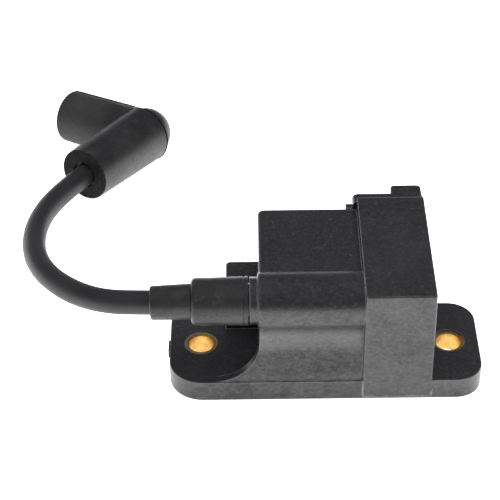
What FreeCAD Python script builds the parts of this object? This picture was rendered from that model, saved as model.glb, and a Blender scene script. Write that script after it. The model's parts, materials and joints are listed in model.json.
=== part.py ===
import FreeCAD, Part
import math
import os

from FreeCAD import Vector

# Capacitor-discharge ignition coil of a two-stroke engine, in millimetres.
# Origin: halfway between the two mounting-hole axes, on the flange's underside.
# +X to the plain ear, -X the way the high-tension lead leaves, +Y to the potted rear, +Z up.

# ---- driving dimensions ----
# Flange and its two ears
hole_pitch = 76.2
flange_left, flange_right = -47.6, 47.3
flange_front, flange_back = -18.46, 18.1
flange_thick = 6.8
ear_radius = 8.2
ear_radius_front_left = 10.5
bushing_outer_r, bushing_bore_r = 4.93, 3.85
bushing_edge = 0.3
right_bushing_recess = 0.4
gate_nib = 0.7

# Coil chamber (tall box) and electronics chamber (lower box), both open at the rear
wall = 2.0
coil_left, coil_right = 10.6, 31.7
coil_draft = 0.2
coil_front, chamber_back = -18.75, 30.45
coil_top = 39.5
coil_edge, coil_foot_edge = 0.6, 0.9
box_left, box_top = -20.15, 35.5
box_front = -2.5
box_corner, box_edge = 2.0, 0.9
potting_drop = 1.0
window_back, window_front, window_low, window_high = 28.7, 24.5, 23.0, 33.1

# Rim round the coil chamber's rear opening, its step and its tab
rim_left, rim_right, rim_back, rim_top, rim_corner = 9.4, 31.7, 33.5, 38.7, 1.8
step_left, step_back, step_top = 7.3, 31.8, 36.1
tab_left, tab_right, tab_back, tab_thick, tab_corner = 21.6, 31.1, 37.8, 2.4, 1.5

# Barrel that carries the high-tension outlet, and the skirt wall below it
barrel_y, barrel_z, barrel_r = -9.9, 31.6, 8.5
barrel_left, barrel_edge = -20.7, 0.8
collar_r, collar_left = 7.1, -23.0
nipple_r, nipple_left = 5.2, -39.5
socket_r, socket_floor = 3.75, -30.0
skirt_y, skirt_lean = -17.9, 9.5
skirt_blend = 11.0
gusset_r, gusset_left, gusset_thick = 13.65, -33.8, 2.6
pocket_front, pocket_back, pocket_top, pocket_rib, pocket_count = -13.0, -4.5, 18.0, 1.5, 4

# Four-pin connector shroud, open to -X
shroud_left, shroud_front, shroud_low, shroud_top = -30.4, 6.8, 6.0, 14.7
shroud_wall, shroud_floor_x, shroud_corner = 1.5, -21.6, 1.5
pin_r, pin_pitch, pin_tip, pin_tail = 0.5, 5.2, -28.2, -14.0
pin_names = ["pin_charge", "pin_trigger", "pin_ground", "pin_stop"]

# Iron core: a bar through the coil and a C-shaped return, both of stacked sheets
core_x, coil_z = 21.0, 28.2
sheet_count, sheet_pitch, sheet_thick = 6, 1.0, 0.95
core_limb = 6.0
core_y0, core_y1, core_low = -14.0, 25.0, 9.5

# Windings and their formers, round about the core bar
former_y0, former_y1 = -7.6, 18.6
primary_in, primary_wall_r, primary_out, cheek = 4.3, 4.9, 5.9, 0.6
secondary_in, secondary_wall_r, secondary_out = 6.0, 6.6, 7.9
section_count, winding_gap = 8, 0.05
link_r, link_bore_r = 0.6, 0.65

# Circuit board and what is soldered to it
board_x0, board_thick = -16.4, 1.6
board_y0, board_y1, board_z0, board_z1 = 2.0, 29.0, 4.0, 31.5
capacitor_size, capacitor_y, capacitor_z = (10.0, 22.0, 15.0), 3.0, 15.5
thyristor_size, thyristor_y, thyristor_z = (3.0, 7.4, 10.5), 2.4, 4.4
diode_r, diode_length, diode_first_y, diode_pitch, diode_count = 1.35, 5.2, 12.6, 4.2, 4
resistor_r, resistor_length, resistor_ys = 1.05, 6.3, (11.6, 20.2)
solder_gap = 0.1
primary_lead_r = 0.5

# Rubber boot over the tower's nipple
boot_big_r, boot_mouth_r, boot_big_right, boot_big_left = 7.0, 7.3, -23.4, -40.3
boot_neck_r, boot_small_r, boot_small_left, boot_shoulder = 5.4, 5.1, -52.4, 1.5
boot_droop = 0.4
boot_lip, boot_groove = 1.2, 0.15

# High-tension lead: its route from the tower's socket to the plug boot, and its section
lead_r, core_r = 3.7, 1.0
lead_route = [
    (-33.0, barrel_y, barrel_z),
    (-50.5, barrel_y, 31.1),
    (-71.8, -3.7, 27.2),
    (-89.0, 16.8, 23.3),
    (-93.1, 43.5, 19.1),
    (-85.8, 69.6, 15.7),
    (-70.7, 92.0, 13.6),
]
arc_share = 0.45
spike_r, spike_bore_r, spike_length, spike_point = 0.45, 0.5, 3.0, 1.0

# Plug boot: leg A holds the lead, leg B the spark plug, at right angles
entry_depth = 15.0
leg_a_length, leg_a_r, leg_a_entry_r, heel_rim = 33.5, 10.0, 9.1, 1.5
leg_b_length, leg_b_r = 31.9, 9.35
leg_b_direction = (-0.829, 0.551, -0.0900)
heel_r, heel_offset = 8.9, 2.0
mouth_edge, entry_edge = 0.7, 0.4
lead_bore_r, entry_bore_r, entry_bore_depth = 3.8, 4.5, 1.5
plug_bore_r, plug_bore_start, mouth_flare = 5.2, 15.0, 0.6
clip_out, clip_in, clip_start, clip_end, clip_slot = 3.5, 3.1, 4.0, 14.5, 0.8
clip_floor, tail_r, boot_slack = 0.6, 0.8, 0.1


# ---- small helpers ----
def block(x0, x1, y0, y1, z0, z1):
    """A box between two corners."""
    return Part.makeBox(x1 - x0, y1 - y0, z1 - z0, Vector(x0, y0, z0))


def rod(start, end, radius):
    """A round bar between two points."""
    start, end = Vector(*start), Vector(*end)
    return Part.makeCylinder(radius, (end - start).Length, start, end - start)


def ring(start, end, outer, inner):
    """A round tube between two points."""
    return rod(start, end, outer).cut(rod(start, end, inner))


def group(solids):
    """Separate solids kept together in one node."""
    return Part.makeCompound(solids)


def fuse(shapes):
    """Several shapes as one solid, without the seams between their faces."""
    joined = shapes[0].multiFuse(shapes[1:])
    return joined.removeSplitter()


def edges_where(shape, test):
    """The edges whose middle point passes a test."""
    found = []
    for edge in shape.Edges:
        middle = edge.valueAt((edge.FirstParameter + edge.LastParameter) / 2)
        if test(middle):
            found.append(edge)
    return found


def near(value, target):
    return abs(value - target) < 0.2


def extruded(points, direction):
    """A closed polygon pushed along a direction."""
    face = Part.Face(Part.makePolygon([Vector(*p) for p in points + points[:1]]))
    return face.extrude(Vector(*direction))


# ---- housing: one moulding ----
def flange():
    plate = block(flange_left, flange_right, flange_front, flange_back, 0, flange_thick)
    upright = edges_where(plate, lambda m: near(m.z, flange_thick / 2))
    front_left = [e for e in upright if e.CenterOfMass.x < 0 and e.CenterOfMass.y < 0]
    plate = plate.makeFillet(ear_radius_front_left, front_left)
    upright = edges_where(plate, lambda m: near(m.z, flange_thick / 2))
    square = [e for e in upright if e.CenterOfMass.x > flange_right - 1
              or (e.CenterOfMass.x < flange_left + 1 and e.CenterOfMass.y > 0)]
    plate = plate.makeFillet(ear_radius, square)
    nib = block(flange_left - gate_nib, flange_left + 1, -1.0, 4.0, 2.0, 4.6)
    return fuse([plate, nib])


def coil_box():
    """The tall chamber: its sides lean in a little towards the top."""
    outline = [
        (coil_left, coil_front, 0),
        (coil_right, coil_front, 0),
        (coil_right - coil_draft, coil_front, coil_top),
        (coil_left + coil_draft, coil_front, coil_top),
    ]
    body = extruded(outline, (0, chamber_back - coil_front, 0))
    foot = edges_where(body, lambda m: near(m.y, coil_front) and m.z < 1)
    body = body.makeFillet(coil_foot_edge, foot)
    rest = edges_where(body, lambda m: near(m.y, coil_front) and m.z > 2)
    return body.makeFillet(coil_edge, rest)


def electronics_box():
    body = block(box_left, coil_left + 1, box_front, chamber_back, 0, box_top)
    corner = edges_where(body, lambda m: near(m.x, box_left) and near(m.y, chamber_back))
    body = body.makeFillet(box_corner, corner)
    top = edges_where(body, lambda m: near(m.z, box_top) and m.x < 8 and m.y > 0)
    return body.makeFillet(box_edge, top)


def rear_rim():
    """The rim round the tall chamber's rear opening, its lower step and its tab."""
    rim = block(rim_left, rim_right, chamber_back - 1, rim_back, 0, rim_top)
    corners = edges_where(rim, lambda m: near(m.z, rim_top) and not 10 < m.x < 31)
    rim = rim.makeFillet(rim_corner, corners)
    step = block(step_left, rim_left + 1, chamber_back - 1, step_back, 0, step_top)
    tab = block(tab_left, tab_right, rim_back - 1, tab_back, rim_top - tab_thick, rim_top)
    outer = edges_where(tab, lambda m: near(m.y, tab_back) and not 22 < m.x < 30.7)
    tab = tab.makeFillet(tab_corner, outer)
    return fuse([rim, step, tab])


def skirt():
    """The front wall below the barrel, with the round blend up into the barrel."""
    lean = math.radians(skirt_lean)
    up = Vector(0, math.sin(lean), math.cos(lean))
    out = Vector(0, -math.cos(lean), math.sin(lean))
    barrel = Vector(0, barrel_y, barrel_z)
    foot = Vector(0, skirt_y, flange_thick)
    # The blend's centre is one blend radius off the wall and off the barrel.
    offset = foot + out * skirt_blend - barrel
    reach = barrel_r + skirt_blend
    along = offset.dot(up)
    rise = -along - math.sqrt(along ** 2 - offset.dot(offset) + reach ** 2)
    centre = barrel + offset + up * rise
    wall_end = centre - out * skirt_blend
    barrel_end = centre + (barrel - centre).normalize() * skirt_blend
    middle = centre + (wall_end + barrel_end - centre * 2).normalize() * skirt_blend
    start = Vector(0, skirt_y, 0)
    inner_foot, inner_top = Vector(0, 0, 0), Vector(0, 0, barrel_z)
    edges = [
        Part.LineSegment(start, foot).toShape(),
        Part.LineSegment(foot, wall_end).toShape(),
        Part.Arc(wall_end, middle, barrel_end).toShape(),
        Part.LineSegment(barrel_end, barrel).toShape(),
        Part.LineSegment(barrel, inner_top).toShape(),
        Part.LineSegment(inner_top, inner_foot).toShape(),
        Part.LineSegment(inner_foot, start).toShape(),
    ]
    face = Part.Face(Part.Wire(edges))
    face.translate(Vector(box_left, 0, 0))
    return face.extrude(Vector(coil_left + 1 - box_left, 0, 0))


def gusset():
    """The curved web that runs from the skirt's left end down to the front of the ear."""
    shift = math.tan(math.radians(skirt_lean))
    centre_z = flange_thick + gusset_r
    low, high = flange_thick - 1, centre_z + 2

    def front(z):
        return skirt_y + shift * (z - flange_thick)

    band = [
        (gusset_left, front(low), low),
        (gusset_left, front(high), high),
        (gusset_left, front(high) + gusset_thick, high),
        (gusset_left, front(low) + gusset_thick, low),
    ]
    web = extruded(band, (box_left + 1 - gusset_left, 0, 0))
    round_cut = rod((gusset_left, -30, centre_z), (gusset_left, 10, centre_z), gusset_r)
    upper_cut = block(gusset_left - 1, box_left, -30, 10, centre_z, high + 1)
    return web.cut(round_cut).cut(upper_cut)


def barrel():
    right = coil_left + coil_draft
    body = rod((barrel_left, barrel_y, barrel_z), (right, barrel_y, barrel_z), barrel_r)
    end = edges_where(body, lambda m: near(m.x, barrel_left))
    body = body.makeFillet(barrel_edge, end)
    collar = rod((collar_left, barrel_y, barrel_z), (barrel_left + 1, barrel_y, barrel_z), collar_r)
    nipple = rod((nipple_left, barrel_y, barrel_z), (collar_left + 1, barrel_y, barrel_z), nipple_r)
    return fuse([body, collar, nipple])


def shroud():
    body = block(shroud_left, box_left + 1, shroud_front, chamber_back, shroud_low, shroud_top)
    rounded = edges_where(body, lambda m: near(m.x, shroud_left) and m.y > shroud_front + 1)
    body = body.makeFillet(shroud_corner, [e for e in rounded if near(e.CenterOfMass.y, chamber_back)])
    return body


def chamber_space():
    """What the potting and the inner parts fill: both chambers and the window between them."""
    coil = block(coil_left + wall + coil_draft, coil_right - wall - coil_draft,
                 coil_front + wall, rim_back + 1, wall, coil_top - wall)
    electronics = block(box_left + wall, coil_left - wall + coil_draft,
                        0.5, rim_back + 1, wall, box_top - wall)
    window = block(coil_left - wall, coil_left + wall + 1,
                   window_front, window_back, window_low, window_high)
    return fuse([coil, electronics, window])


def pin_places():
    """Y and Z of each connector pin."""
    middle_y = (shroud_front + chamber_back) / 2
    middle_z = (flange_thick + shroud_top) / 2 - 0.2
    first = middle_y - pin_pitch * (len(pin_names) - 1) / 2
    return [(first + i * pin_pitch, middle_z) for i in range(len(pin_names))]


def underside_pockets():
    """Coring pockets under the skirt, open downwards, with ribs between them."""
    left, right = box_left + wall, coil_left - wall
    width = (right - left - pocket_rib * (pocket_count - 1)) / pocket_count
    pockets = []
    for i in range(pocket_count):
        x0 = left + i * (width + pocket_rib)
        pockets.append(block(x0, x0 + width, pocket_front, pocket_back, -1, pocket_top))
    return pockets


def housing():
    body = fuse([flange(), coil_box(), electronics_box(), rear_rim(), skirt(), gusset(),
                 barrel(), shroud()])
    inside = block(shroud_left - 1, shroud_floor_x, shroud_front + shroud_wall,
                   chamber_back - shroud_wall, flange_thick + 1.1, shroud_top - shroud_wall)
    cuts = [chamber_space(), inside] + underside_pockets()
    for side in (-1, 1):
        x = side * hole_pitch / 2
        cuts.append(rod((x, 0, -1), (x, 0, flange_thick + 1), bushing_outer_r))
    cuts.append(rod((nipple_left - 1, barrel_y, barrel_z), (socket_floor, barrel_y, barrel_z), socket_r))
    cuts.append(rod((socket_floor - 1, barrel_y, barrel_z), (coil_left + 4, barrel_y, barrel_z), link_bore_r))
    for y, z in pin_places():
        cuts.append(rod((shroud_floor_x - 1, y, z), (box_left + wall + 1, y, z), pin_r))
    for cutter in cuts:
        body = body.cut(cutter)
    return body


def bushing(x, top):
    """A brass compression limiter, with its bore's upper edge broken."""
    sleeve = rod((x, 0, 0), (x, 0, top), bushing_outer_r)
    bore = rod((x, 0, -1), (x, 0, top + 1), bushing_bore_r)
    sleeve = sleeve.cut(bore)
    inner = edges_where(sleeve, lambda m: near(math.hypot(m.x - x, m.y), bushing_bore_r)
                        and m.z > top - 0.1)
    return sleeve.makeChamfer(bushing_edge, inner)


# ---- iron core ----
def sheet_faces():
    """X of each lamination's left face."""
    first = core_x - sheet_count * sheet_pitch / 2
    return [first + i * sheet_pitch for i in range(sheet_count)]


def core_bar():
    half = core_limb / 2
    return group([block(x, x + sheet_thick, core_y0, core_y1, coil_z - half, coil_z + half)
                  for x in sheet_faces()])


def core_frame():
    sheets = []
    top = coil_z - core_limb / 2
    for x in sheet_faces():
        plate = block(x, x + sheet_thick, core_y0, core_y1, core_low, top)
        gap = block(x - 1, x + 2, core_y0 + core_limb, core_y1 - core_limb, core_low + core_limb, top + 1)
        sheets.append(plate.cut(gap))
    return group(sheets)


# ---- windings ----
def around_core(y0, y1, outer, inner):
    """A tube about the core bar's axis."""
    return ring((core_x, y0, coil_z), (core_x, y1, coil_z), outer, inner)


def primary_former():
    tube = around_core(former_y0, former_y1, primary_wall_r, primary_in)
    front = around_core(former_y0, former_y0 + cheek, primary_out, primary_in)
    back = around_core(former_y1 - cheek, former_y1, primary_out, primary_in)
    return fuse([tube, front, back])


def primary_winding():
    return around_core(former_y0 + cheek, former_y1 - cheek, primary_out - winding_gap, primary_wall_r)


def cheek_places():
    """Y of each cheek on the secondary former, evenly spread."""
    pitch = (former_y1 - former_y0 - cheek) / section_count
    return [former_y0 + i * pitch for i in range(section_count + 1)]


def secondary_former():
    parts = [around_core(former_y0, former_y1, secondary_wall_r, secondary_in)]
    for y in cheek_places():
        parts.append(around_core(y, y + cheek, secondary_out, secondary_in))
    return fuse(parts)


def secondary_winding():
    cheeks = cheek_places()
    return group([around_core(y0 + cheek, y1, secondary_out - 4 * winding_gap, secondary_wall_r)
                  for y0, y1 in zip(cheeks[:-1], cheeks[1:])])


def tension_link():
    """The wire from the tower's terminal to the secondary winding's live end."""
    corner = (core_x - secondary_wall_r + 1.0, barrel_y, barrel_z)
    along = rod((socket_floor + 1, barrel_y, barrel_z), corner, link_r)
    back = rod(corner, (corner[0], former_y0, barrel_z), link_r)
    elbow = Part.makeSphere(link_r, Vector(*corner))
    return fuse([along, elbow, back])


# ---- electronics ----
def circuit_board():
    board = block(board_x0, board_x0 + board_thick, board_y0, board_y1, board_z0, board_z1)
    for y, z in pin_places():
        board = board.cut(rod((board_x0 - 1, y, z), (board_x0 + board_thick + 1, y, z), pin_r))
    return board


def on_board():
    """X of the face that the components stand on, a solder gap off the board."""
    return board_x0 + board_thick + solder_gap


def board_block(size, y, z):
    x = on_board()
    return block(x, x + size[0], y, y + size[1], z, z + size[2])


def capacitor():
    body = board_block(capacitor_size, capacitor_y, capacitor_z)
    far_x = on_board() + capacitor_size[0]
    return body.makeFillet(1.0, edges_where(body, lambda m: near(m.x, far_x)))


def diodes():
    x = on_board() + diode_r
    low = board_z0
    bodies = []
    for i in range(diode_count):
        y = diode_first_y + i * diode_pitch
        bodies.append(rod((x, y, low), (x, y, low + diode_length), diode_r))
    return group(bodies)


def resistors():
    x = on_board() + resistor_r
    z = capacitor_z - 0.3 - resistor_r
    return group([rod((x, y, z), (x, y + resistor_length, z), resistor_r) for y in resistor_ys])


def primary_leads():
    """The pair of wires from the board through the window to the primary winding."""
    x0, x1 = on_board(), core_x - primary_wall_r + 0.3
    y = (window_front + window_back) / 2
    wires = []
    for z in (window_low + 1.4, window_high - 1.2):
        along = rod((x0, y, z), (x1, y, z), primary_lead_r)
        elbow = Part.makeSphere(primary_lead_r, Vector(x1, y, z))
        back = rod((x1, y, z), (x1, former_y1, z), primary_lead_r)
        wires.append(fuse([along, elbow, back]))
    return group(wires)


# ---- tower boot, terminal and lead ----
def tapered(start, end, start_r, end_r):
    """A round bar between two points that changes its radius evenly."""
    start, end = Vector(*start), Vector(*end)
    return Part.makeCone(start_r, end_r, (end - start).Length, start, end - start)


def tower_boot():
    """The boot's wide part over the nipple, and its narrow part, which sags a little with the lead."""
    mouth, shoulder = (boot_big_right, barrel_y, barrel_z), (boot_big_left, barrel_y, barrel_z)
    tip = (boot_small_left, barrel_y, barrel_z - boot_droop)
    big = tapered(mouth, shoulder, boot_mouth_r, boot_big_r)
    big = big.makeFillet(boot_shoulder, edges_where(big, lambda m: near(m.x, boot_big_left)))
    small = tapered(shoulder, tip, boot_neck_r, boot_small_r)
    small = small.makeFillet(boot_shoulder / 2, edges_where(small, lambda m: m.x < boot_small_left + 1))
    neck = rod(shoulder, (boot_big_left + 1, barrel_y, barrel_z), boot_neck_r)
    body = fuse([big, neck, small])
    lip_x = boot_big_right - boot_lip
    groove = ring((lip_x - 0.3, barrel_y, barrel_z), (lip_x, barrel_y, barrel_z),
                  boot_mouth_r + 1, boot_mouth_r - 2 * boot_groove)
    over_nipple = rod((nipple_left, barrel_y, barrel_z), (0, barrel_y, barrel_z), nipple_r)
    beyond = (boot_small_left - 1, barrel_y, barrel_z - boot_droop)
    over_lead = rod(beyond, (nipple_left + 1, barrel_y, barrel_z), lead_r)
    for cutter in (groove, over_nipple, over_lead):
        body = body.cut(cutter)
    return body


def spike(base, direction, radius, length):
    """A pin that ends in a point."""
    direction = Vector(*direction).normalize()
    base = Vector(*base)
    shank = Part.makeCylinder(radius, length - spike_point, base, direction)
    start = base + direction * (length - spike_point)
    tip = Part.makeCone(radius, radius / 4, spike_point, start, direction)
    return fuse([shank, tip])


def tower_terminal():
    """The brass seat at the bottom of the tower's socket, with the spike for the lead."""
    lead_end = lead_route[0][0]
    seat = rod((lead_end, barrel_y, barrel_z), (socket_floor, barrel_y, barrel_z), lead_r)
    stem = rod((socket_floor, barrel_y, barrel_z), (socket_floor + 1, barrel_y, barrel_z), link_r)
    pin = spike((lead_end, barrel_y, barrel_z), (-1, 0, 0), spike_r, spike_length)
    return fuse([seat, stem, pin])


def lead_path(route):
    """Straight runs joined by the largest arcs that the runs leave room for."""
    points = [Vector(*p) for p in route]
    edges, radii, last = [], [], points[0]
    for before, corner, after in zip(points[:-2], points[1:-1], points[2:]):
        back, ahead = before - corner, after - corner
        cut = arc_share * min(back.Length, ahead.Length)
        start = corner + back.normalize() * cut
        end = corner + ahead.normalize() * cut
        half_turn = (math.pi - back.getAngle(ahead)) / 2
        radius = cut / math.tan(half_turn)
        to_centre = (back + ahead).normalize()
        middle = corner + to_centre * (radius / math.cos(half_turn) - radius)
        edges.append(Part.LineSegment(last, start).toShape())
        edges.append(Part.Arc(start, middle, end).toShape())
        radii.append(round(radius, 1))
        last = end
    edges.append(Part.LineSegment(last, points[-1]).toShape())
    return Part.Wire(edges), radii


def swept(path, route, radius):
    """A round tube along a path."""
    start = Vector(*route[0])
    heading = Vector(*route[1]) - start
    section = Part.Wire([Part.makeCircle(radius, start, heading)])
    return path.makePipeShell([section], True, False)


def high_tension_lead():
    """The rubber jacket and the conductor inside it, each pierced by the terminals' spikes."""
    path, radii = lead_path(lead_route)
    outer = swept(path, lead_route, lead_r)
    inner = swept(path, lead_route, core_r)
    expected = math.pi * lead_r ** 2 * path.Length
    print("lead length", round(path.Length, 1), "radii", radii)
    print("lead volume share", round(outer.Volume / expected, 4))
    end_hole = rod(point_on_leg_a(-boot_slack), point_on_leg_a(spike_length + boot_slack), spike_bore_r)
    conductor = inner.cut(tower_terminal()).cut(end_hole)
    return outer.cut(inner), conductor


# ---- plug boot ----
def boot_axes():
    """The plug boot's leg directions: A back along the lead, B to the plug, and their normal."""
    before, end = Vector(*lead_route[-2]), Vector(*lead_route[-1])
    leg_a = (before - end).normalize()
    leg_b = Vector(*leg_b_direction)
    leg_b = (leg_b - leg_a * leg_b.dot(leg_a)).normalize()
    return leg_a, leg_b, leg_b.cross(leg_a)


def elbow_point():
    """Where the axes of the two legs cross."""
    leg_a = boot_axes()[0]
    return Vector(*lead_route[-1]) - leg_a * (leg_a_length - entry_depth)


def point_on_leg_a(inside):
    """A point on the lead's axis, that far inside the lead's end."""
    leg_a = boot_axes()[0]
    return tuple(Vector(*lead_route[-1]) + leg_a * inside)


def place_in_boot(shape):
    """Puts a shape made with leg B along X and leg A along Y in its place."""
    a, b, n = boot_axes()
    e = elbow_point()
    matrix = FreeCAD.Matrix(b.x, a.x, n.x, e.x, b.y, a.y, n.y, e.y, b.z, a.z, n.z, e.z, 0, 0, 0, 1)
    placed = shape.copy()
    placed.Placement = FreeCAD.Placement(matrix)
    return placed


def plug_boot():
    axis_a, axis_b = Vector(0, 1, 0), Vector(1, 0, 0)
    leg_a = Part.makeCone(leg_a_r, leg_a_entry_r, leg_a_length + heel_rim, Vector(0, -heel_rim, 0), axis_a)
    leg_a = leg_a.makeFillet(entry_edge, edges_where(leg_a, lambda m: near(m.y, leg_a_length)))
    leg_b = Part.makeCylinder(leg_b_r, leg_b_length, Vector(0, 0, 0), axis_b)
    leg_b = leg_b.makeFillet(mouth_edge, edges_where(leg_b, lambda m: near(m.x, leg_b_length)))
    heel = Part.makeSphere(heel_r, Vector(0, -heel_offset, 0))
    body = fuse([leg_a, leg_b, heel])
    lead_floor = leg_a_length - entry_depth - boot_slack
    entry = leg_a_length - entry_bore_depth
    flare_start = leg_b_length - mouth_flare
    cuts = [
        rod((0, lead_floor, 0), (0, leg_a_length + 1, 0), lead_bore_r),
        rod((0, entry, 0), (0, leg_a_length + 1, 0), entry_bore_r),
        rod((0, 0, 0), (0, lead_floor + 1, 0), tail_r),
        rod((0, 0, 0), (clip_start + 1, 0, 0), tail_r),
        Part.makeSphere(tail_r, Vector(0, 0, 0)),
        rod((clip_start, 0, 0), (plug_bore_start + 1, 0, 0), clip_out),
        rod((plug_bore_start, 0, 0), (leg_b_length + 1, 0, 0), plug_bore_r),
        Part.makeCone(plug_bore_r, plug_bore_r + mouth_flare, mouth_flare, Vector(flare_start, 0, 0), axis_b),
    ]
    for cutter in cuts:
        body = body.cut(cutter)
    return place_in_boot(body)


def plug_terminal():
    """The spring clip that snaps on the plug, with the tail and spike that reach into the lead."""
    lead_end = leg_a_length - entry_depth
    clip = ring((clip_start, 0, 0), (clip_end, 0, 0), clip_out, clip_in)
    back = rod((clip_start, 0, 0), (clip_start + clip_floor, 0, 0), clip_out)
    slot_start = clip_start + 3 * clip_floor
    slots = [
        block(slot_start, clip_end + 1, -clip_out - 1, clip_out + 1, -clip_slot / 2, clip_slot / 2),
        block(slot_start, clip_end + 1, -clip_slot / 2, clip_slot / 2, -clip_out - 1, clip_out + 1),
    ]
    clip = fuse([clip, back]).cut(slots[0]).cut(slots[1])
    stem_b = rod((0, 0, 0), (clip_start + clip_floor / 2, 0, 0), tail_r)
    stem_a = rod((0, 0, 0), (0, lead_end - boot_slack, 0), tail_r)
    elbow = Part.makeSphere(tail_r, Vector(0, 0, 0))
    pin = spike((0, lead_end - 2 * boot_slack, 0), (0, 1, 0), spike_r, spike_length)
    return place_in_boot(fuse([clip, stem_b, elbow, stem_a, pin]))


# ---- every node ----
def potting(inner_parts):
    """The epoxy that fills both chambers round everything in them, just below the rear edge."""
    block_end = chamber_back - potting_drop
    fill = chamber_space().common(block(-50, 50, -50, block_end, -10, 50))
    for shape in inner_parts:
        for solid in shape.Solids:
            fill = fill.cut(solid)
    return fill


nodes = {
    "housing": housing(),
    "left_bushing": bushing(-hole_pitch / 2, flange_thick),
    "right_bushing": bushing(hole_pitch / 2, flange_thick - right_bushing_recess),
    "tower_boot": tower_boot(),
    "plug_boot": plug_boot(),
    "plug_terminal": plug_terminal(),
    "tower_terminal": tower_terminal(),
}
nodes["ht_lead"], nodes["lead_conductor"] = high_tension_lead()

sealed = {
    "core_bar": core_bar(),
    "core_frame": core_frame(),
    "primary_former": primary_former(),
    "primary_winding": primary_winding(),
    "secondary_former": secondary_former(),
    "secondary_winding": secondary_winding(),
    "tension_link": tension_link(),
    "circuit_board": circuit_board(),
    "storage_capacitor": capacitor(),
    "thyristor": board_block(thyristor_size, thyristor_y, thyristor_z),
    "rectifier_diodes": diodes(),
    "resistors": resistors(),
    "primary_leads": primary_leads(),
}
for pin_name, (pin_y, pin_z) in zip(pin_names, pin_places()):
    sealed[pin_name] = rod((pin_tip, pin_y, pin_z), (pin_tail, pin_y, pin_z), pin_r)
nodes.update(sealed)
nodes["potting_fill"] = potting(sealed.values())

os.makedirs("parts", exist_ok=True)
for name, shape in nodes.items():
    if not shape.isValid():
        print("not valid:", name)
    shape.exportStep(f"parts/{name}.step")
    box = shape.BoundBox
    print(f"{name:20s} solids {len(shape.Solids):2d}  volume {shape.Volume:9.1f}  "
          f"x {box.XMin:.1f}..{box.XMax:.1f}  y {box.YMin:.1f}..{box.YMax:.1f}  "
          f"z {box.ZMin:.2f}..{box.ZMax:.2f}")
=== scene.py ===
import json
import math

import bpy
from mathutils import Matrix, Vector


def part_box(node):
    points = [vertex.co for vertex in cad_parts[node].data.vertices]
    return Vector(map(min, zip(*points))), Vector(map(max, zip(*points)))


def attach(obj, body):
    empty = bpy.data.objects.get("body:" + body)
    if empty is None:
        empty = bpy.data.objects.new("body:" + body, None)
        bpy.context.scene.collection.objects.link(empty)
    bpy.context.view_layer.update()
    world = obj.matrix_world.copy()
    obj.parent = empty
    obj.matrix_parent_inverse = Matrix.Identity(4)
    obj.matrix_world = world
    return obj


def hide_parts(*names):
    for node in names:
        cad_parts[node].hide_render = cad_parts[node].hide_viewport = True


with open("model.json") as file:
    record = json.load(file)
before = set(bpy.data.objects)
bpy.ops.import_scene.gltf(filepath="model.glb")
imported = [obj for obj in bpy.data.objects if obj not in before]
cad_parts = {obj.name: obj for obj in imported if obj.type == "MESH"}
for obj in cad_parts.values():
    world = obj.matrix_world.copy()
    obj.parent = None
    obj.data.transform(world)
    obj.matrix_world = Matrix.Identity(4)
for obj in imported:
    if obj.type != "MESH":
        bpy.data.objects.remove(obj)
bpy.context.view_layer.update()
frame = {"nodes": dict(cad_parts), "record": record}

# The looks of the ignition coil. Every CAD node keeps its place and gets its material here. The
# high-tension lead becomes one smooth curve along its route, and three fine ridges are added: two lines
# of flash on the plug boot, coloured near-black as painted shadow, and a pale line at the foot of the
# tall chamber, coloured as a painted highlight.

MM = 0.001

# ---- camera ----
CAMERA_PLACE = Vector((-22.89, -409.88, 359.71)) * MM
CAMERA_PITCH = math.radians(37.70)
CAMERA_YAW = math.radians(-0.03)
CAMERA_ROLL = math.radians(-0.68)
CAMERA_LENS, CAMERA_SENSOR = 126.0, 36.0
CAMERA_NEAR, CAMERA_FAR = 0.01, 20.0

# ---- floor and light: the floor glows a little, and the light overhead isn't seen in reflections ----
FLOOR_HALF, FLOOR_GAP = 4.0, 0.2 * MM
FLOOR_WHITE = (0.70, 0.70, 0.70)
FLOOR_ROUGHNESS, FLOOR_SPECULAR, FLOOR_GLOW = 0.9, 0.1, 0.95
ROOM_COLOUR, ROOM_STRENGTH = (0.76, 0.77, 0.80), 0.16
LIGHT_PLACE, LIGHT_TARGET = Vector((-0.05, 0.0, 1.6)), Vector((0.0, 0.02, 0.02))
LIGHT_SIDE, LIGHT_POWER = 2.0, 92.0

# ---- the lead: its route, the same points as in part.py, in millimetres ----
LEAD_ROUTE = [
    (-33.0, -9.9, 31.6),
    (-50.5, -9.9, 31.1),
    (-71.8, -3.7, 27.2),
    (-89.0, 16.8, 23.3),
    (-93.1, 43.5, 19.1),
    (-85.8, 69.6, 15.7),
    (-70.7, 92.0, 13.6),
]
LEAD_DIAMETER = 7.4 * MM
LEAD_ORDER, LEAD_STEPS, LEAD_SECTION_STEPS = 3, 24, 8

# ---- the plug boot: leg A runs back along the lead, leg B towards the plug ----
ENTRY_DEPTH = 15.0 * MM
LEG_A_LENGTH = 33.5 * MM
LEG_B_RADIUS = 9.35 * MM
LEG_B_DIRECTION = Vector((-0.829, 0.551, -0.0900))
LEAD_END = Vector(LEAD_ROUTE[-1]) * MM
LEG_A = (Vector(LEAD_ROUTE[-2]) - Vector(LEAD_ROUTE[-1])).normalized()
LEG_B = (LEG_B_DIRECTION - LEG_A * LEG_B_DIRECTION.dot(LEG_A)).normalized()
ELBOW = LEAD_END - LEG_A * (LEG_A_LENGTH - ENTRY_DEPTH)
ENTRY_FACE = ELBOW + LEG_A * LEG_A_LENGTH
ENTRY_REACH, ENTRY_SKIN = 12.0 * MM, 0.45 * MM
HANDLED_START, HANDLED_RAMP = 12.0 * MM, 3.0 * MM

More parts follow.
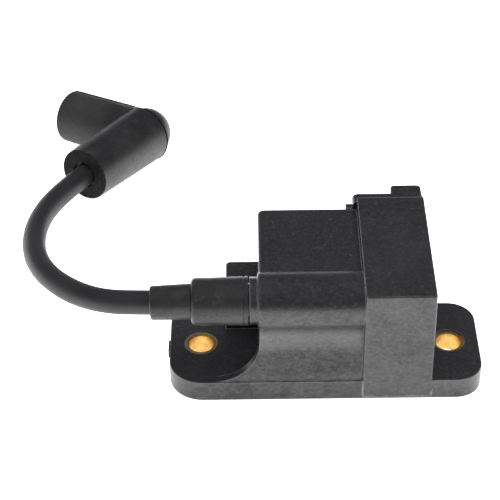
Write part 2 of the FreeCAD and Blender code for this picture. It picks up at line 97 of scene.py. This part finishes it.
# ---- fine ridges: each one's root lies inside the surface that it stands on ----
RIDGE_ROOT = 0.12 * MM
FLASH_TILT = math.radians(18)
FLASH_START, FLASH_END, FLASH_POINTS = 5.0 * MM, 31.0 * MM, 60
FLASH_WIDTH, FLASH_HEIGHT = 0.85 * MM, 0.26 * MM
HEEL_RIM, HEEL_RIM_RADIUS, HEEL_RIM_POINTS = 1.4 * MM, 9.98 * MM, 73
HEEL_RIM_START, HEEL_RIM_SWEEP = math.radians(95), math.radians(170)
HEEL_RIM_WIDTH, HEEL_RIM_HEIGHT = 0.90 * MM, 0.30 * MM
# Where the thin pale ridge of painted highlight runs round the foot of the tall chamber.
FOOT_HIGHLIGHT_LEFT, FOOT_HIGHLIGHT_RIGHT, FOOT_HIGHLIGHT_LOW = 10.85 * MM, 31.45 * MM, 1.10 * MM
FOOT_HIGHLIGHT_LEFT_TOP, FOOT_HIGHLIGHT_RIGHT_TOP = 7.5 * MM, 4.0 * MM
FOOT_HIGHLIGHT_CORNER, FOOT_HIGHLIGHT_CORNER_MIDDLE, FOOT_HIGHLIGHT_STEP = 0.7 * MM, 0.2 * MM, 0.8 * MM
FOOT_HIGHLIGHT_WIDTH, FOOT_HIGHLIGHT_HEIGHT = 0.40 * MM, 0.09 * MM

# ---- sheen on the housing left of the tall chamber: from one height to another, and how much more ----
TALL_CHAMBER_LEFT, SHEEN_SIDE_RAMP, SHEEN_RAMP = 10.6 * MM, 0.5 * MM, 1.5 * MM
FLANGE_LOW, FLANGE_HIGH = -2.0 * MM, 6.0 * MM
SKIRT_FOOT, SKIRT_WAIST, BARREL_FOOT, BARREL_FRONT = 8.5 * MM, 17.5 * MM, 24.0 * MM, 30.5 * MM
SHEEN_ZONES = [
    (FLANGE_LOW, FLANGE_HIGH, -0.10),
    (SKIRT_FOOT, SKIRT_WAIST, -0.14),
    (SKIRT_WAIST, BARREL_FOOT, 0.30),
    (BARREL_FOOT, BARREL_FRONT, -0.18),
]

# ---- colours, linear ----
PLASTIC_DARK, PLASTIC_LIGHT = (0.0078, 0.0072, 0.0082), (0.0116, 0.0108, 0.0120)
# Below: the fibre colour, then the pale edge colour, which is partly wear and partly a painted highlight on
# rounded edges.
PLASTIC_FIBRE, PLASTIC_WEAR_AND_EDGE_HIGHLIGHT = (0.021, 0.021, 0.0215), (0.125, 0.122, 0.128)
PLASTIC_SPECK, PLASTIC_SCRATCH = (0.045, 0.045, 0.045), (0.036, 0.036, 0.037)
# Colours of the painted highlight along the tall chamber's foot fillet.
FOOT_HIGHLIGHT_DARK, FOOT_HIGHLIGHT_LIGHT = (0.030, 0.030, 0.031), (0.190, 0.190, 0.195)
RUBBER_DARK, RUBBER_LIGHT = (0.0076, 0.0075, 0.0082), (0.0122, 0.0121, 0.0128)
RUBBER_HANDLED, RUBBER_DUST = (0.0200, 0.0198, 0.0206), (0.020, 0.020, 0.020)
# Below, the second colour is the boot's pale edge colour: partly wear, partly a painted highlight.
RUBBER_SPECK, RUBBER_WEAR_AND_EDGE_HIGHLIGHT = (0.040, 0.040, 0.040), (0.040, 0.040, 0.041)
CUT_DARK, CUT_LIGHT = (0.004, 0.004, 0.004), (0.016, 0.016, 0.017)
# Near-black colours of the flash lines: painted shadow along them.
SEAM_SHADOW_DARK, SEAM_SHADOW_LIGHT = (0.002, 0.002, 0.002), (0.007, 0.007, 0.007)
LEAD_DARK, LEAD_LIGHT = (0.0080, 0.0074, 0.0086), (0.0108, 0.0100, 0.0114)
LEAD_SPECK = (0.028, 0.028, 0.028)
BRASS_BRIGHT, BRASS_DEEP = (0.72, 0.47, 0.15), (0.56, 0.33, 0.09)
BRASS_TARNISH, BRASS_SPECK = (0.15, 0.125, 0.095), (0.22, 0.11, 0.03)

# ---- slots with a simple finish: dark colour, light colour, least roughness ----
METALS = {
    "conductor_copper": ((0.60, 0.25, 0.12), (0.80, 0.38, 0.20), 0.30),
    "terminal_brass": ((0.62, 0.42, 0.15), (0.80, 0.56, 0.24), 0.28),
    "clip_steel": ((0.42, 0.42, 0.41), (0.60, 0.60, 0.58), 0.24),
    "pin_brass": ((0.60, 0.54, 0.38), (0.78, 0.72, 0.55), 0.24),
    "core_steel": ((0.16, 0.17, 0.19), (0.26, 0.27, 0.29), 0.35),
    "winding_copper": ((0.30, 0.09, 0.03), (0.48, 0.17, 0.06), 0.25),
}
PLAINS = {
    "former_plastic": ((0.05, 0.045, 0.04), (0.08, 0.07, 0.06), 0.45),
    "board_laminate": ((0.01, 0.07, 0.025), (0.02, 0.11, 0.04), 0.35),
    "capacitor_case": ((0.38, 0.24, 0.04), (0.50, 0.34, 0.07), 0.30),
    "component_black": ((0.008, 0.008, 0.008), (0.014, 0.014, 0.014), 0.35),
    "resistor_body": ((0.32, 0.21, 0.11), (0.42, 0.29, 0.17), 0.40),
}
POTTING_DARK, POTTING_LIGHT, POTTING_ROUGHNESS = (0.008, 0.008, 0.009), (0.013, 0.013, 0.014), 0.22
PLAIN_GRAIN, POTTING_GRAIN = 1800, 500

# ---- spans of a noise's values ----
MIDDLE = (0.30, 0.70)
UPPER_MIDDLE = (0.35, 0.70)


# ---- camera and stage ----
def add_object(name, data):
    """A new object in the scene's own collection."""
    made = bpy.data.objects.new(name, data)
    bpy.context.scene.collection.objects.link(made)
    return made


def make_camera():
    data = bpy.data.cameras.new("camera")
    data.lens = CAMERA_LENS
    data.sensor_width = CAMERA_SENSOR
    data.clip_start = CAMERA_NEAR
    data.clip_end = CAMERA_FAR
    camera = add_object("camera", data)
    turn = (Matrix.Rotation(CAMERA_YAW, 4, "Z")
            @ Matrix.Rotation(math.radians(90) - CAMERA_PITCH, 4, "X")
            @ Matrix.Rotation(CAMERA_ROLL, 4, "Z"))
    camera.matrix_world = Matrix.Translation(CAMERA_PLACE) @ turn
    bpy.context.scene.camera = camera


def make_floor():
    """A wide white sheet just under the object."""
    mesh = bpy.data.meshes.new("floor")
    half = FLOOR_HALF
    corners = [(-half, -half, 0), (half, -half, 0), (half, half, 0), (-half, half, 0)]
    mesh.from_pydata(corners, [], [(0, 1, 2, 3)])
    floor = add_object("floor", mesh)
    floor.location.z = -FLOOR_GAP
    material = bpy.data.materials.new("floor_paper")
    material.use_nodes = True
    shader = material.node_tree.nodes["Principled BSDF"]
    shader.inputs["Base Color"].default_value = (*FLOOR_WHITE, 1)
    shader.inputs["Roughness"].default_value = FLOOR_ROUGHNESS
    shader.inputs["Specular IOR Level"].default_value = FLOOR_SPECULAR
    shader.inputs["Emission Color"].default_value = (1, 1, 1, 1)
    shader.inputs["Emission Strength"].default_value = FLOOR_GLOW
    mesh.materials.append(material)


def make_room():
    """A dim, even surround, and colours shown as they are."""
    world = bpy.data.worlds.new("studio")
    world.use_nodes = True
    background = world.node_tree.nodes["Background"]
    background.inputs["Color"].default_value = (*ROOM_COLOUR, 1)
    background.inputs["Strength"].default_value = ROOM_STRENGTH
    bpy.context.scene.world = world
    bpy.context.scene.view_settings.view_transform = "Standard"
    bpy.context.scene.view_settings.look = "None"


def make_overhead_light():
    """A wide light that whitens the floor; the floor then lights the object's sides."""
    data = bpy.data.lights.new("overhead", "AREA")
    data.shape = "RECTANGLE"
    data.size = LIGHT_SIDE
    data.size_y = LIGHT_SIDE
    data.energy = LIGHT_POWER
    light = add_object("overhead", data)
    light.location = LIGHT_PLACE
    light.rotation_euler = (LIGHT_TARGET - LIGHT_PLACE).to_track_quat("-Z", "Y").to_euler()
    light.visible_glossy = False


# ---- the lead ----
def make_lead():
    """The lead as one round curve from the tower's terminal to its end in the plug boot."""
    curve = bpy.data.curves.new("ht_lead_jacket", "CURVE")
    curve.dimensions = "3D"
    spline = curve.splines.new("NURBS")
    spline.points.add(len(LEAD_ROUTE) - 1)
    for point, place in zip(spline.points, LEAD_ROUTE):
        point.co = (*(Vector(place) * MM), 1.0)
        point.radius = LEAD_DIAMETER / 2
    spline.order_u = LEAD_ORDER
    spline.use_endpoint_u = True
    spline.resolution_u = LEAD_STEPS
    # The points' own radius is the lead's, so the bevel multiplies it by one.
    curve.bevel_depth = 1.0
    curve.bevel_resolution = LEAD_SECTION_STEPS
    curve.use_fill_caps = True
    lead = add_object("ht_lead_jacket", curve)
    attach(lead, "coil")
    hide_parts("ht_lead", "lead_conductor")
    return lead


# ---- fine ridges ----
def mesh_piece(name, points, faces, body):
    """A mesh that rides a body and takes a material slot of the record."""
    mesh = bpy.data.meshes.new(name)
    mesh.from_pydata(points, [], faces)
    mesh.validate()
    piece = add_object(name, mesh)
    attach(piece, body)
    return piece


def raggedness(i):
    """A share between a half and one that varies from point to point along a ridge."""
    return 0.75 + 0.25 * math.sin(i * 1.7) * math.cos(i * 0.6)


def ridge_faces(count):
    """The three long sides of a ridge of that many sections, and its two ends."""
    faces = []
    for i in range(count - 1):
        a, b = 3 * i, 3 * (i + 1)
        faces += [(a, a + 1, b + 1, b), (a + 1, a + 2, b + 2, b + 1), (a + 2, a, b, b + 2)]
    last = 3 * (count - 1)
    return faces + [(0, 2, 1), (last, last + 1, last + 2)]


def swept_ridge(name, path, outward, width, height, body):
    """A low three-sided ridge: its path, the way up at each point, its width at the surface, its height."""
    points = []
    for i, place in enumerate(path):
        ahead = path[min(i + 1, len(path) - 1)] - path[max(i - 1, 0)]
        up = outward[i].normalized()
        side = ahead.cross(up).normalized()
        root = place - up * RIDGE_ROOT
        reach = side * width / 2 * (height + RIDGE_ROOT) / height
        points += [root - reach, place + up * height * raggedness(i), root + reach]
    return mesh_piece(name, points, ridge_faces(len(path)), body)


def boot_flash():
    """The thin line of flash along the upper back of leg B."""
    above = LEG_B.cross(LEG_A).normalized()
    way = above * math.cos(FLASH_TILT) - LEG_A * math.sin(FLASH_TILT)
    path = []
    for i in range(FLASH_POINTS):
        along = FLASH_START + (FLASH_END - FLASH_START) * i / (FLASH_POINTS - 1)
        path.append(ELBOW + LEG_B * along + way * LEG_B_RADIUS)
    return swept_ridge("leg_b_flash", path, [way] * FLASH_POINTS, FLASH_WIDTH, FLASH_HEIGHT,
                       "plug_end")


def heel_rim():
    """The bead at the end of leg A, where the domed heel is let in."""
    above = LEG_B.cross(LEG_A).normalized()
    centre = ELBOW - LEG_A * HEEL_RIM
    outward = []
    for i in range(HEEL_RIM_POINTS):
        angle = HEEL_RIM_START + HEEL_RIM_SWEEP * i / (HEEL_RIM_POINTS - 1)
        outward.append(LEG_B * math.cos(angle) + above * math.sin(angle))
    path = [centre + way * HEEL_RIM_RADIUS for way in outward]
    return swept_ridge("heel_rim_flash", path, outward, HEEL_RIM_WIDTH, HEEL_RIM_HEIGHT,
                       "plug_end")


def foot_highlight_outline():
    """Down the left edge, round the foot and up the right edge, as (x, z)."""
    left, right, low = FOOT_HIGHLIGHT_LEFT, FOOT_HIGHLIGHT_RIGHT, FOOT_HIGHLIGHT_LOW
    corner, middle = FOOT_HIGHLIGHT_CORNER, FOOT_HIGHLIGHT_CORNER_MIDDLE
    return [
        (left, FOOT_HIGHLIGHT_LEFT_TOP), (left, low + corner), (left + middle, low + middle), (left + corner, low),
        (right - corner, low), (right - middle, low + middle), (right, low + corner), (right, FOOT_HIGHLIGHT_RIGHT_TOP),
    ]


def foot_highlight():
    """The painted highlight line round the lower end of the tall chamber's front: a thin pale ridge on its
    foot fillet.
    """
    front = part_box("housing")[0].y
    outline = foot_highlight_outline()
    path = []
    for (x0, z0), (x1, z1) in zip(outline[:-1], outline[1:]):
        steps = max(1, round(math.hypot(x1 - x0, z1 - z0) / FOOT_HIGHLIGHT_STEP))
        for i in range(steps):
            share = i / steps
            path.append(Vector((x0 + (x1 - x0) * share, front, z0 + (z1 - z0) * share)))
    path.append(Vector((FOOT_HIGHLIGHT_RIGHT, front, FOOT_HIGHLIGHT_RIGHT_TOP)))
    forward = Vector((0, -1, 0))
    return swept_ridge("foot_highlight", path, [forward] * len(path), FOOT_HIGHLIGHT_WIDTH, FOOT_HIGHLIGHT_HEIGHT,
                       "coil")


# ---- material building blocks ----
class Surface:
    """A Principled material and short calls for the nodes that drive it."""

    def __init__(self, name):
        self.material = bpy.data.materials.new(name)
        self.material.use_nodes = True
        self.tree = self.material.node_tree
        self.shader = self.tree.nodes["Principled BSDF"]
        self.place = self.tree.nodes.new("ShaderNodeTexCoord").outputs["Object"]

    def link(self, source, target):
        self.tree.links.new(source, target)

    def node(self, kind, **values):
        made = self.tree.nodes.new(kind)
        for key, value in values.items():
            setattr(made, key, value)
        return made

    def drive(self, socket, value):
        """Let a pattern set one of the shader's sockets."""
        self.link(value, self.shader.inputs[socket])

    def hold(self, socket, value):
        """Give one of the shader's sockets a value that is the same all over."""
        self.shader.inputs[socket].default_value = value

    def noise(self, scale, detail=4.0, roughness=0.55, stretch=None):
        """A cloudy pattern with that many features to the metre."""
        made = self.node("ShaderNodeTexNoise")
        made.inputs["Scale"].default_value = scale
        made.inputs["Detail"].default_value = detail
        made.inputs["Roughness"].default_value = roughness
        where = self.place
        if stretch:
            mapping = self.node("ShaderNodeMapping")
            mapping.inputs["Scale"].default_value = stretch
            self.link(self.place, mapping.inputs["Vector"])
            where = mapping.outputs["Vector"]
        self.link(where, made.inputs["Vector"])
        return made.outputs["Fac"]

    def spread(self, value, span, to=(0.0, 1.0)):
        """Map one span of a value to another, and hold it within that."""
        made = self.node("ShaderNodeMapRange")
        made.inputs["From Min"].default_value = span[0]
        made.inputs["From Max"].default_value = span[1]
        made.inputs["To Min"].default_value = to[0]
        made.inputs["To Max"].default_value = to[1]
        self.link(value, made.inputs["Value"])
        return made.outputs["Result"]

    def math(self, operation, a, b):
        made = self.node("ShaderNodeMath", operation=operation)
        for socket, value in zip(made.inputs, (a, b)):
            if isinstance(value, (int, float)):
                socket.default_value = value
            else:
                self.link(value, socket)
        return made.outputs["Value"]

    def add(self, a, b):
        return self.math("ADD", a, b)

    def times(self, a, b):
        return self.math("MULTIPLY", a, b)

    def mix(self, factor, first, second):
        """From the first colour at 0 to the second at 1."""
        made = self.node("ShaderNodeMix", data_type="RGBA")
        colours = [s for s in made.inputs if s.type == "RGBA"]
        for socket, value in zip(colours, (first, second)):
            if isinstance(value, tuple):
                socket.default_value = (*value, 1)
            else:
                self.link(value, socket)
        self.link(factor, made.inputs["Factor"])
        return [s for s in made.outputs if s.type == "RGBA"][0]

    def rounded(self, radius):
        """The surface's normal as if its edges had that radius."""
        bevel = self.node("ShaderNodeBevel", samples=4)
        bevel.inputs["Radius"].default_value = radius
        return bevel.outputs["Normal"]

    def edges(self, radius):
        """About 1 on the edges of the shape, 0 on its faces."""
        geometry = self.node("ShaderNodeNewGeometry")
        dot = self.node("ShaderNodeVectorMath", operation="DOT_PRODUCT")
        self.link(self.rounded(radius), dot.inputs[0])
        self.link(geometry.outputs["True Normal"], dot.inputs[1])
        return self.spread(dot.outputs["Value"], (0.997, 0.90))

    def beyond_plane(self, point, direction, soft):
        """0 before a plane through a point, 1 after it, with a short ramp."""
        dot = self.node("ShaderNodeVectorMath", operation="DOT_PRODUCT")
        self.link(self.place, dot.inputs[0])
        dot.inputs[1].default_value = direction
        start = point.dot(direction)
        return self.spread(dot.outputs["Value"], (start - soft, start + soft))

    def between_heights(self, low, high):
        """1 between two heights on the coil, 0 outside them, with soft steps."""
        above = self.beyond_plane(Vector((0, 0, low)), Vector((0, 0, 1)), SHEEN_RAMP)
        below = self.beyond_plane(Vector((0, 0, high)), Vector((0, 0, -1)), SHEEN_RAMP)
        return self.times(above, below)

    def within(self, point, reach):
        """1 up to that distance from a point, 0 a millimetre further out."""
        far = self.node("ShaderNodeVectorMath", operation="DISTANCE")
        self.link(self.place, far.inputs[0])
        far.inputs[1].default_value = point
        return self.spread(far.outputs["Value"], (reach + MM, reach))

    def bump(self, layers, edge_radius=None):
        """Bumps stacked from (height, strength, distance), over rounded edges if a radius is given."""
        normal = self.rounded(edge_radius) if edge_radius else None
        for height, strength, distance in layers:
            made = self.node("ShaderNodeBump")
            made.inputs["Strength"].default_value = strength
            made.inputs["Distance"].default_value = distance
            self.link(height, made.inputs["Height"])
            if normal:
                self.link(normal, made.inputs["Normal"])
            normal = made.outputs["Normal"]
        self.drive("Normal", normal)


# ---- the visible materials ----
def housing_sheen(s, flow, fibre, rub):
    """How strongly the housing reflects: uneven all over, and by zones on its front."""
    sheen = s.add(s.spread(flow, MIDDLE, (0.50, 0.70)), s.spread(fibre, MIDDLE, (-0.18, 0.20)))
    sheen = s.add(sheen, s.spread(rub, MIDDLE, (-0.10, 0.12)))
    chamber_side = Vector((TALL_CHAMBER_LEFT, 0, 0))
    beside = s.beyond_plane(chamber_side, Vector((-1, 0, 0)), SHEEN_SIDE_RAMP)
    for low, high, change in SHEEN_ZONES:
        zone = s.times(s.between_heights(low, high), beside)
        sheen = s.add(sheen, s.times(zone, change))
    return sheen


def housing_plastic():
    """Black glass-filled nylon with a fine spark texture, flow marks and pale edges, partly rubbed wear and
    partly painted highlight.
    """
    s = Surface("housing_plastic")
    grain = s.noise(1500, detail=3)
    flow = s.noise(48, detail=5, roughness=0.62, stretch=(1.0, 0.6, 1.4))
    rub = s.noise(230, detail=5, roughness=0.65)
    fibre = s.noise(950, detail=5, roughness=0.75, stretch=(0.8, 1.0, 1.1))
    speck = s.noise(1250, detail=1)
    scratch = s.noise(220, detail=2, roughness=0.5, stretch=(0.25, 2.0, 0.6))
    # Pale edges: partly rubbed wear, partly a painted highlight where the rounded edges would catch the
    # light.
    wear_and_edge_highlight = s.times(s.edges(0.55 * MM), s.spread(rub, (0.30, 0.56), (0.35, 1.0)))
    colour = s.mix(s.spread(flow, (0.35, 0.68)), PLASTIC_DARK, PLASTIC_LIGHT)
    colour = s.mix(s.spread(fibre, (0.48, 0.70), (0.0, 0.55)), colour, PLASTIC_FIBRE)
    colour = s.mix(wear_and_edge_highlight, colour, PLASTIC_WEAR_AND_EDGE_HIGHLIGHT)
    colour = s.mix(s.spread(speck, (0.70, 0.76), (0.0, 0.7)), colour, PLASTIC_SPECK)
    colour = s.mix(s.spread(scratch, (0.70, 0.74), (0.0, 0.4)), colour, PLASTIC_SCRATCH)
    s.drive("Base Color", colour)
    s.drive("Roughness", s.spread(rub, MIDDLE, (0.26, 0.42)))
    s.drive("Specular IOR Level", housing_sheen(s, flow, fibre, rub))
    s.bump([(grain, 0.55, 0.05 * MM), (fibre, 0.40, 0.05 * MM), (rub, 0.18, 0.10 * MM)], 0.30 * MM)
    return s.material


def foot_highlight_plastic():
    """A pale colour painted as a highlight along the foot of the tall chamber."""
    s = Surface("foot_highlight_plastic")
    break_up = s.noise(420, detail=4, roughness=0.6)
    # Painted highlight: a pale colour where the foot fillet would catch the light.
    s.drive("Base Color", s.mix(s.spread(break_up, (0.40, 0.62)), FOOT_HIGHLIGHT_DARK, FOOT_HIGHLIGHT_LIGHT))
    s.drive("Roughness", s.spread(break_up, MIDDLE, (0.30, 0.45)))
    s.bump([(s.noise(1500, detail=3), 0.3, 0.03 * MM)], 0.1 * MM)
    return s.material


def cut_face(s):
    """1 on the flat face where the lead enters the plug boot, 0 elsewhere."""
    beyond = s.beyond_plane(ENTRY_FACE - LEG_A * ENTRY_SKIN, LEG_A, 0.1 * MM)
    return s.times(beyond, s.within(ENTRY_FACE, ENTRY_REACH))


def boot_rubber():
    """Moulded black rubber: satin, faintly dusty, dull on leg B and coarse on its cut entry face, with pale
    edges that are partly wear and partly painted highlight.
    """
    s = Surface("boot_rubber")
    bloom = s.noise(52, detail=4)
    grain = s.noise(1600, detail=3)
    patch = s.noise(240, detail=5, roughness=0.62)
    crumb = s.noise(1300, detail=4, roughness=0.75)
    speck = s.noise(1150, detail=2)
    handled = s.beyond_plane(ELBOW + LEG_B * HANDLED_START, LEG_B, HANDLED_RAMP)
    cut = cut_face(s)
    # Pale edges: partly wear, partly a painted highlight along the rounded edges.
    wear_and_edge_highlight = s.times(s.edges(0.30 * MM), s.spread(patch, (0.4, 0.6), (0.0, 0.6)))
    raw = s.mix(s.spread(crumb, (0.40, 0.66)), CUT_DARK, CUT_LIGHT)
    colour = s.mix(s.spread(bloom, UPPER_MIDDLE), RUBBER_DARK, RUBBER_LIGHT)
    colour = s.mix(s.times(handled, 0.55), colour, RUBBER_HANDLED)
    colour = s.mix(s.spread(patch, (0.52, 0.72), (0.0, 0.45)), colour, RUBBER_DUST)
    colour = s.mix(s.spread(speck, (0.68, 0.76), (0.0, 0.7)), colour, RUBBER_SPECK)
    colour = s.mix(wear_and_edge_highlight, colour, RUBBER_WEAR_AND_EDGE_HIGHLIGHT)
    s.drive("Base Color", s.mix(cut, colour, raw))
    satin = s.add(s.spread(patch, MIDDLE, (0.36, 0.50)), s.times(handled, 0.14))
    s.drive("Roughness", s.add(satin, s.times(cut, 0.35)))
    sheen = s.add(s.spread(bloom, MIDDLE, (0.34, 0.52)), s.spread(crumb, MIDDLE, (-0.12, 0.14)))
    keep = s.math("SUBTRACT", s.spread(cut, (0.0, 1.0), (1.0, 0.25)), s.times(handled, 0.40))
    s.drive("Specular IOR Level", s.times(sheen, keep))
    s.bump([(grain, 0.40, 0.035 * MM), (patch, 0.22, 0.10 * MM)], 0.2 * MM)
    return s.material


def seam_painted_shadow():
    """Painted shadow on the mould's flash lines: near-black rubber that stands in for the shade along them,
    rough and crumbly.
    """
    s = Surface("seam_painted_shadow")
    crumb = s.noise(900, detail=4, roughness=0.7)
    # Painted shadow: a near-black colour where the lines throw shade.
    s.drive("Base Color", s.mix(s.spread(crumb, (0.4, 0.65)), SEAM_SHADOW_DARK, SEAM_SHADOW_LIGHT))
    s.drive("Roughness", s.spread(crumb, MIDDLE, (0.70, 0.90)))
    s.hold("Specular IOR Level", 0.15)
    s.bump([(crumb, 0.5, 0.05 * MM)])
    return s.material


def lead_rubber():
    """Extruded jacket: smoother than the boots, with faint specks and clouds."""
    s = Surface("lead_rubber")
    cloud = s.noise(70, detail=4)
    grain = s.noise(1900, detail=2)
    speck = s.noise(1300, detail=1)
    ripple = s.noise(320, detail=3)
    colour = s.mix(s.spread(cloud, UPPER_MIDDLE), LEAD_DARK, LEAD_LIGHT)
    colour = s.mix(s.spread(speck, (0.72, 0.78), (0.0, 0.5)), colour, LEAD_SPECK)
    s.drive("Base Color", colour)
    s.drive("Roughness", s.spread(cloud, MIDDLE, (0.44, 0.56)))
    s.hold("Specular IOR Level", 0.45)
    s.bump([(grain, 0.25, 0.02 * MM), (ripple, 0.15, 0.05 * MM)])
    return s.material


def bushing_brass():
    """Turned brass: bright in the bore, browned towards the rim."""
    s = Surface("bushing_brass")
    stain = s.noise(420, detail=5)
    speck = s.noise(1500, detail=3, roughness=0.7)
    turning = s.noise(1500, detail=2, roughness=0.5, stretch=(1, 1, 6))
    tarnish = s.times(s.edges(0.5 * MM), s.spread(stain, (0.3, 0.6), (0.35, 0.9)))
    colour = s.mix(s.spread(stain, UPPER_MIDDLE), BRASS_BRIGHT, BRASS_DEEP)
    colour = s.mix(tarnish, colour, BRASS_TARNISH)
    colour = s.mix(s.spread(speck, (0.60, 0.72), (0.0, 0.6)), colour, BRASS_SPECK)
    s.drive("Base Color", colour)
    s.drive("Roughness", s.spread(stain, MIDDLE, (0.26, 0.42)))
    s.drive("Metallic", s.spread(tarnish, (0.0, 0.9), (1.0, 0.35)))
    s.bump([(turning, 0.2, 0.02 * MM)], 0.1 * MM)
    return s.material


# ---- the materials of the inner parts ----
def metal(name, dark, light, roughness):
    """Bare metal with faint stains."""
    s = Surface(name)
    stain = s.noise(380, detail=4)
    s.drive("Base Color", s.mix(s.spread(stain, UPPER_MIDDLE), dark, light))
    s.drive("Roughness", s.spread(stain, MIDDLE, (roughness, roughness + 0.14)))
    s.hold("Metallic", 1.0)
    s.bump([(s.noise(2400, detail=2), 0.15, 0.02 * MM)], 0.1 * MM)
    return s.material


def plain(name, dark, light, roughness, grain_scale=PLAIN_GRAIN):
    """Plastic, lacquer or resin with faint clouds and a fine grain."""
    s = Surface(name)
    cloud = s.noise(140, detail=4)
    s.drive("Base Color", s.mix(s.spread(cloud, UPPER_MIDDLE), dark, light))
    s.drive("Roughness", s.spread(cloud, MIDDLE, (roughness, roughness + 0.12)))
    s.bump([(s.noise(grain_scale, detail=3), 0.25, 0.03 * MM)], 0.1 * MM)
    return s.material


def make_materials():
    """One material for each slot of the record."""
    made = {
        "housing_plastic": housing_plastic(),
        "boot_rubber": boot_rubber(),
        "lead_rubber": lead_rubber(),
        "bushing_brass": bushing_brass(),
    }
    for name, values in METALS.items():
        made[name] = metal(name, *values)
    for name, values in PLAINS.items():
        made[name] = plain(name, *values)
    made["potting_epoxy"] = plain("potting_epoxy", POTTING_DARK, POTTING_LIGHT, POTTING_ROUGHNESS,
                                  POTTING_GRAIN)
    return made


def dress_nodes(materials):
    """Give each CAD node the material of its slot."""
    slots = {row["node"]: row["material_slot"] for row in frame["record"]["subparts"]}
    for name, node in frame["nodes"].items():
        for slot in node.material_slots:
            slot.material = materials[slots[name]]


def dress_pieces(material, pieces):
    """Give a material to pieces made here."""
    for piece in pieces:
        piece.data.materials.append(material)


def write_sizes():
    """Bring the view layer up to date."""
    bpy.context.view_layer.update()


make_camera()
lead = make_lead()
# The two flash ridges are coloured near-black as painted shadow.
seams = [boot_flash(), heel_rim()]
# A pale ridge painted as a highlight along the tall chamber's foot.
foot_highlight_piece = foot_highlight()
make_floor()
make_room()
make_overhead_light()
materials = make_materials()
dress_nodes(materials)
dress_pieces(materials["lead_rubber"], [lead])
dress_pieces(foot_highlight_plastic(), [foot_highlight_piece])
dress_pieces(seam_painted_shadow(), seams)
write_sizes()
